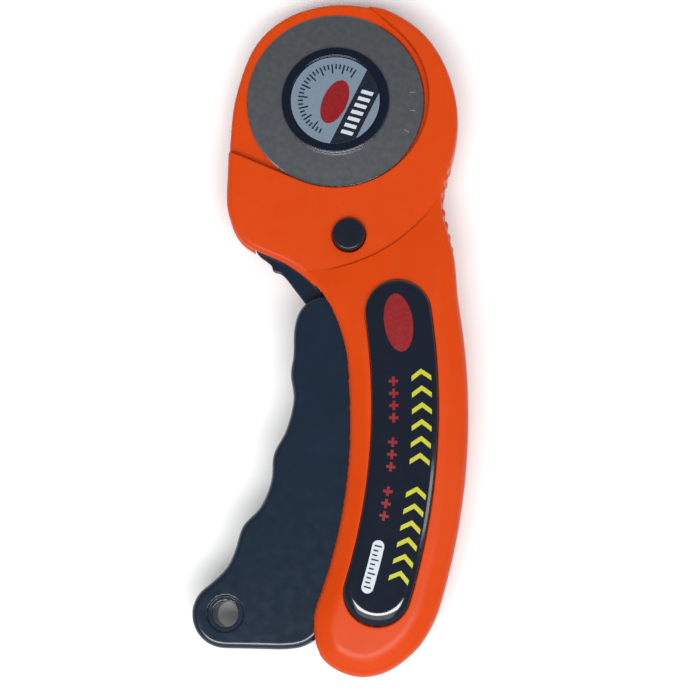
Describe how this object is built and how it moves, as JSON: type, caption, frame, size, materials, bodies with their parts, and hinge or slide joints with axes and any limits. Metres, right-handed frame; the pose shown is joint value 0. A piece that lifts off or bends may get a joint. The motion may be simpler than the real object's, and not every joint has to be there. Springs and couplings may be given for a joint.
{
  "type": "rotary cutter",
  "caption": "Squeeze-handle rotary cutter: round blade on a pivoting lever in a two-shell curved handle, with a cross-bolt lock button.",
  "frame": {"origin": "centre of the footprint that the cutter lies on, with its back down; the nut and the back inlay rest at z = 0", "axes": "+Y towards the blade, +Z out of the front face that shows the blade, +X towards the palm side of the handle"},
  "size_m": [0.0672, 0.1689, 0.022],
  "materials": {
    "handle_plastic": "moulded orange, satin gloss",
    "inlay_plastic": "glossy blue-black with printed marks",
    "lever_plastic": "moulded blue-black, lightly scratched",
    "knob_plastic": "moulded black, semi-gloss",
    "button_plastic": "moulded black, semi-gloss",
    "label_print": "printed grey-blue label",
    "blade_steel": "ground tool steel with an oil film",
    "plated_steel": "zinc plated",
    "spring_steel": "drawn spring wire",
    "insert_brass": "turned"
  },
  "bodies": {
    "handle": {"front_shell": "handle_plastic", "back_shell": "handle_plastic", "front_inlay": "inlay_plastic", "back_inlay": "inlay_plastic", "pivot_pin": "plated_steel", "return_spring": "spring_steel", "case_screw_1": "plated_steel", "case_screw_2": "plated_steel", "case_screw_3": "plated_steel", "case_screw_4": "plated_steel"},
    "lever": {"squeeze_lever": "lever_plastic", "bolt_cap": "knob_plastic", "bolt_stud": "plated_steel", "bolt_label": "label_print", "wave_washer": "spring_steel"},
    "blade": {"blade": "blade_steel"},
    "washer": {"flat_washer": "plated_steel"},
    "nut": {"nut_knob": "knob_plastic", "nut_insert": "insert_brass"},
    "lock_button": {"lock_button_front": "button_plastic", "lock_button_back": "button_plastic"}
  },
  "joints": [
    {"name": "lever_squeeze", "type": "hinge", "parent": "handle", "child": "lever", "pos_m": [-0.01485, 0.03015, 0.011], "axis": [0, 0, 1], "range_deg": [0, 12], "stiffness_Nm_per_rad": 1.8, "springref_deg": -11.46, "deforming": ["return_spring"]},
    {"name": "blade_spin", "type": "hinge", "parent": "lever", "child": "blade", "pos_m": [0.00095, 0.05875, 0.01485], "axis": [0, 0, 1], "continuous": true},
    {"name": "nut_back_off", "type": "slide", "parent": "lever", "child": "washer", "axis": [0, 0, -1], "range_m": [0, 0.004]},
    {"name": "nut_turn", "type": "hinge", "parent": "washer", "child": "nut", "pos_m": [0.00095, 0.05875, 0.003], "axis": [0, 0, -1], "range_deg": [0, 1440]},
    {"name": "lock_press", "type": "slide", "parent": "handle", "child": "lock_button", "axis": [0, 0, -1], "range_m": [0, 0.0026]}
  ],
  "couplings": [
    {"joint": "nut_back_off", "follows": "nut_turn", "m_per_rad": 0.00015915}
  ]
}
